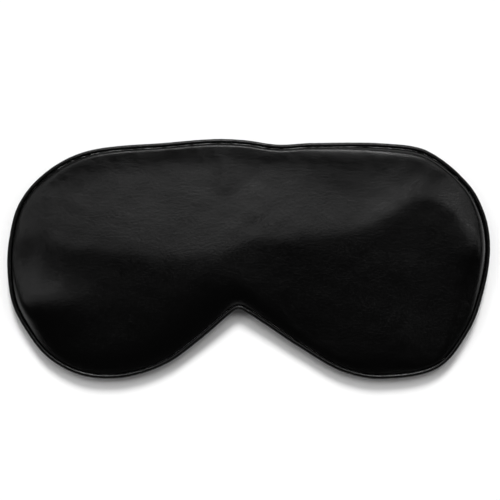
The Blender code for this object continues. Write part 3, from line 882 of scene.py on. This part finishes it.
def ribbon(name, path, node_names):
    """Flat webbing along a path in the XZ plane, with rounded selvedges, in place of two parts of the model.
    """
    path = np.array(path)
    length = np.concatenate([[0], np.cumsum(np.linalg.norm(np.diff(path, axis=0), axis=1))])
    spacing = 0.0006
    count = max(8, int(length[-1] / spacing))
    wanted = np.linspace(0, length[-1], count)
    line = np.stack([np.interp(wanted, length, path[:, k]) for k in (0, 1)], axis=1)
    for _ in range(6):
        line[1:-1] = (line[:-2] + 2 * line[1:-1] + line[2:]) / 4
    along = np.gradient(line, axis=0)
    along /= np.linalg.norm(along, axis=1)[:, None]
    side = np.stack([-along[:, 1], along[:, 0]], axis=1)
    half, thick = settings().strap_width / 2, settings().webbing / 2
    edge = np.linspace(-1, 1, 25)
    full = np.clip((1 - np.abs(edge)) / 0.06, 0, 1) ** 0.5 * 0.75 + 0.25
    ribs = 1 - 0.06 * (1 - np.cos(edge * half * 2 * math.pi / RIB_PITCH)) / 2
    section = [(half * e, thick * f * r) for e, f, r in zip(edge, full, ribs)]
    section += [(half * e, -thick * f * r) for e, f, r in zip(edge, full, ribs)][::-1]
    vertices, faces = [], []
    size = len(section)
    for (x, z), (sx, sz) in zip(line, side):
        vertices += [(x + sx * rise, STRAP_Y + across, z + sz * rise) for across, rise in section]
    for i in range(count - 1):
        for a in range(size):
            b = (a + 1) % size
            faces.append((i * size + a, i * size + b, (i + 1) * size + b, (i + 1) * size + a))
    faces.append(tuple(range(size))[::-1])
    faces.append(tuple(range((count - 1) * size, count * size)))
    made = add_piece(name, vertices, faces, "elastic")
    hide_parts(*node_names)
    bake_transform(made)


def half_turn(centre_x, centre_z, radius, side, steps=14):
    """The webbing's path round a bar, from below to above, on the side given by its sign."""
    angles = np.linspace(-math.pi / 2, math.pi / 2, steps + 1)
    return [(centre_x + side * radius * math.cos(a), centre_z + radius * math.sin(a)) for a in angles]


def seam_end(side):
    """The webbing's path from inside one side seam, out, round and back under the mask."""
    low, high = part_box("strap_left_run" if side < 0 else "strap_right_run")
    outer = low.x if side < 0 else high.x
    radius = (SEAM_LAYER - STRAP_LOW) / 2
    turn_x = outer - side * (radius + settings().webbing / 2)
    held = turn_x - side * 0.0034
    arc = half_turn(turn_x, (SEAM_LAYER + STRAP_LOW) / 2, radius, side)[::-1]
    resting = [(turn_x - side * 0.007, STRAP_LOW), (turn_x - side * 0.017, STRAP_MAIN)]
    return [(held, SEAM_LAYER), *arc, *resting]


def build_strap():
    """The elastic: its main run, the tab that holds the ring, and the run back to the slider."""
    middle, radius = (STRAP_TOP + STRAP_MAIN) / 2, (STRAP_TOP - STRAP_MAIN) / 2
    bar = (RING_HIGH.z - RING_LOW.z) / 2
    left_bar, right_bar = RING_LOW.x + bar, RING_HIGH.x - bar
    main = [*seam_end(-1), *half_turn(left_bar, middle, radius, 1), (left_bar - 0.0034, STRAP_TOP)]
    nodes = ["strap_left_run", "strap_main_run"]
    ribbon("elastic_main", main, nodes)

    low_tail = STRAP_MAIN + 0.0011
    tab = [(STILL_RIGHT - 0.0015, low_tail), (right_bar + 0.0035, low_tail)]
    tab += [*half_turn(right_bar, middle, radius, -1)[::-1], *seam_end(1)[::-1]]
    nodes = ["ring_loop", "strap_right_run"]
    ribbon("elastic_tab", tab, nodes)

    low, tail, high = 0.0022, 0.0032, 0.0041
    loop_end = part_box("slider_end_loop")[1].x
    back = [(loop_end - 0.0008, tail), (SLIDER_X + 0.0045, tail)]
    back += [*half_turn(SLIDER_X, (low + high) / 2, (high - low) / 2, -1)[::-1], (loop_end, low)]
    start = left_bar - 0.0038
    back += [(start - 0.0090, low), (start - 0.0015, STRAP_TOP), (start, STRAP_TOP)]
    nodes = ["slider_end_loop", "strap_return_run"]
    ribbon("elastic_return", back, nodes)


def build_ring():
    """A moulded rectangular loop with rounded corners and a round section."""
    radius = (RING_HIGH.z - RING_LOW.z) / 2
    low, high = RING_LOW + Vector((radius, radius, 0)), RING_HIGH - Vector((radius, radius, 0))
    middle = (RING_LOW + RING_HIGH) / 2
    corner, sides = 0.0010, 16
    places = []
    corners = ((high.x, high.y, 0), (low.x, high.y, 90), (low.x, low.y, 180), (high.x, low.y, 270))
    for x, y, start in corners:
        centre_x = x - math.copysign(corner, x - middle.x)
        centre_y = y - math.copysign(corner, y - middle.y)
        for turn in np.radians(np.linspace(start, start + 90, 9)):
            places.append((centre_x + corner * math.cos(turn), centre_y + corner * math.sin(turn)))
    places = np.array(places)
    tangent = np.roll(places, -1, axis=0) - np.roll(places, 1, axis=0)
    tangent /= np.linalg.norm(tangent, axis=1)[:, None]
    outward = np.stack([tangent[:, 1], -tangent[:, 0]], axis=1)
    turns = np.linspace(0, 2 * math.pi, sides + 1)[:-1]
    vertices = []
    for place, out in zip(places, outward):
        for turn in turns:
            x, y = place + out * radius * math.cos(turn)
            vertices.append((x, y, middle.z + radius * math.sin(turn)))
    faces = tube_faces(len(places), sides)
    made = add_piece("ring_moulding", vertices, faces, "hardware", "strap")
    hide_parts("ring")


# ---------------------------------------------------------------------------------------------------
# Stage


def build_floor():
    """A plain pale surface under the mask."""
    mesh = bpy.data.meshes.new("floor")
    reach = FLOOR_REACH
    corners = [(-reach, -reach, 0), (reach, -reach, 0), (reach, reach, 0), (-reach, reach, 0)]
    mesh.from_pydata(corners, [], [(0, 1, 2, 3)])
    made = Shader("floor_paper", {"Specular IOR Level": 0.1})
    grain = made.noise(40)
    colour = tuple(settings().floor)
    tone = made.tint(grain, mixed(colour, 0.995), colour)
    mesh.materials.append(made.finish(Base_Color=tone, Roughness=0.9 + 0.05 * grain))
    floor = bpy.data.objects.new("floor", mesh)
    bpy.context.scene.collection.objects.link(floor)


def build_lamps():
    """The soft lamps of the studio."""
    for name, strength, width, source in LIGHTS:
        sun = bpy.data.lights.new(name, "SUN")
        sun.energy = strength
        sun.angle = math.radians(width)
        lamp = bpy.data.objects.new(name, sun)
        lamp.rotation_euler = Vector(source).to_track_quat("Z", "Y").to_euler()
        bpy.context.scene.collection.objects.link(lamp)


def build_room():
    """A dim white room for the pieces, and a bright backdrop behind them."""
    world = bpy.data.worlds.new("studio")
    world.use_nodes = True
    studio = Nodes(world.node_tree)
    room = studio.nodes["Background"]
    room.inputs["Color"].default_value = WHITE
    room.inputs["Strength"].default_value = ROOM_STRENGTH
    backdrop = studio.add("Background", {}, {"Color": WHITE, "Strength": BACKDROP_STRENGTH})
    to_camera = studio.add("LightPath", output="Is Camera Ray")
    choice = studio.add("MixShader", {}, {0: to_camera, 1: Value(studio, room.outputs[0]), 2: backdrop})
    studio.feed(studio.nodes["World Output"].inputs["Surface"], choice)
    bpy.context.scene.world = world


def build_camera():
    """A long lens, straight above the mask."""
    camera = bpy.data.cameras.new("camera")
    camera.lens = LENS
    camera.sensor_width = SENSOR_WIDTH
    made = bpy.data.objects.new("camera", camera)
    made.location = CAMERA_PLACE
    bpy.context.scene.collection.objects.link(made)
    bpy.context.scene.camera = made


# ---------------------------------------------------------------------------------------------------
# Operators


class MASK_OT_cloth(bpy.types.Operator):
    """Build the satin front and back with their turned-in edges"""

    bl_idname = "sleep_mask.cloth"
    bl_label = "Satin panels"

    def execute(self, context):
        build_front()
        build_back()
        return {"FINISHED"}


class MASK_OT_inside(bpy.types.Operator):
    """Build the black-out lining, the wadding pad and the back lining"""

    bl_idname = "sleep_mask.inside"
    bl_label = "Linings and wadding"

    def execute(self, context):
        near, far, pad_gap = 0.0006, 0.0009, 0.0012
        front, back = front_height, back_height
        build_layer("black_out_layer", "light_block_lining", "lining", (front, -near), (front, -far))
        build_layer("back_layer", "back_lining", "lining", (back, far), (back, near))
        pad = build_layer("wadding_pad", "filling", "wadding", (front, -pad_gap), (back, pad_gap))
        return {"FINISHED"}


class MASK_OT_piping(bpy.types.Operator):
    """Build the satin piping round the rim"""

    bl_idname = "sleep_mask.piping"
    bl_label = "Piping"

    def execute(self, context):
        build_piping()
        return {"FINISHED"}


class MASK_OT_strap(bpy.types.Operator):
    """Build the elastic strap, folded round its slider and ring"""

    bl_idname = "sleep_mask.strap"
    bl_label = "Elastic strap"

    def execute(self, context):
        build_strap()
        return {"FINISHED"}


class MASK_OT_hardware(bpy.types.Operator):
    """Build the ring, and give the slider, the piping's cord and the threads their finishes"""

    bl_idname = "sleep_mask.hardware"
    bl_label = "Ring, slider, cord and threads"

    def execute(self, context):
        build_ring()
        finishes = {"slider": "hardware", "piping_cord": "cord"}
        for name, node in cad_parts.items():
            kind = finishes.get(name, "thread")
            if not node.hide_render:
                node.data.materials.clear()
                node.data.materials.append(material(kind))
        return {"FINISHED"}


class MASK_OT_stage(bpy.types.Operator):
    """Build the floor, the lights and the camera"""

    bl_idname = "sleep_mask.stage"
    bl_label = "Floor, lights and camera"

    def execute(self, context):
        build_floor()
        build_lamps()
        build_room()
        build_camera()
        bpy.context.scene.view_settings.view_transform = "Standard"
        return {"FINISHED"}


class MASK_PT_panel(bpy.types.Panel):
    """The mask's settings, and a button for each operator"""

    bl_label = "Sleep mask"
    bl_idname = "MASK_PT_panel"
    bl_space_type = "VIEW_3D"
    bl_region_type = "UI"
    bl_category = "Sleep mask"

    def draw(self, context):
        for name in MaskSettings.__annotations__:
            self.layout.prop(context.scene.sleep_mask, name)
        for operator in OPERATORS:
            self.layout.operator(operator.bl_idname)


OPERATORS = (
    MASK_OT_stage,
    MASK_OT_cloth,
    MASK_OT_inside,
    MASK_OT_piping,
    MASK_OT_strap,
    MASK_OT_hardware,
)
CLASSES = (MaskSettings, *OPERATORS, MASK_PT_panel)


def register():
    for item in CLASSES:
        bpy.utils.register_class(item)
    bpy.types.Scene.sleep_mask = bpy.props.PointerProperty(type=MaskSettings)


def unregister():
    del bpy.types.Scene.sleep_mask
    for item in reversed(CLASSES):
        bpy.utils.unregister_class(item)


def main():
    register()
    bpy.ops.sleep_mask.stage()
    bpy.ops.sleep_mask.cloth()
    bpy.ops.sleep_mask.inside()
    bpy.ops.sleep_mask.piping()
    bpy.ops.sleep_mask.strap()
    bpy.ops.sleep_mask.hardware()
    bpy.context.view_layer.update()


if __name__ == "__main__":
    main()
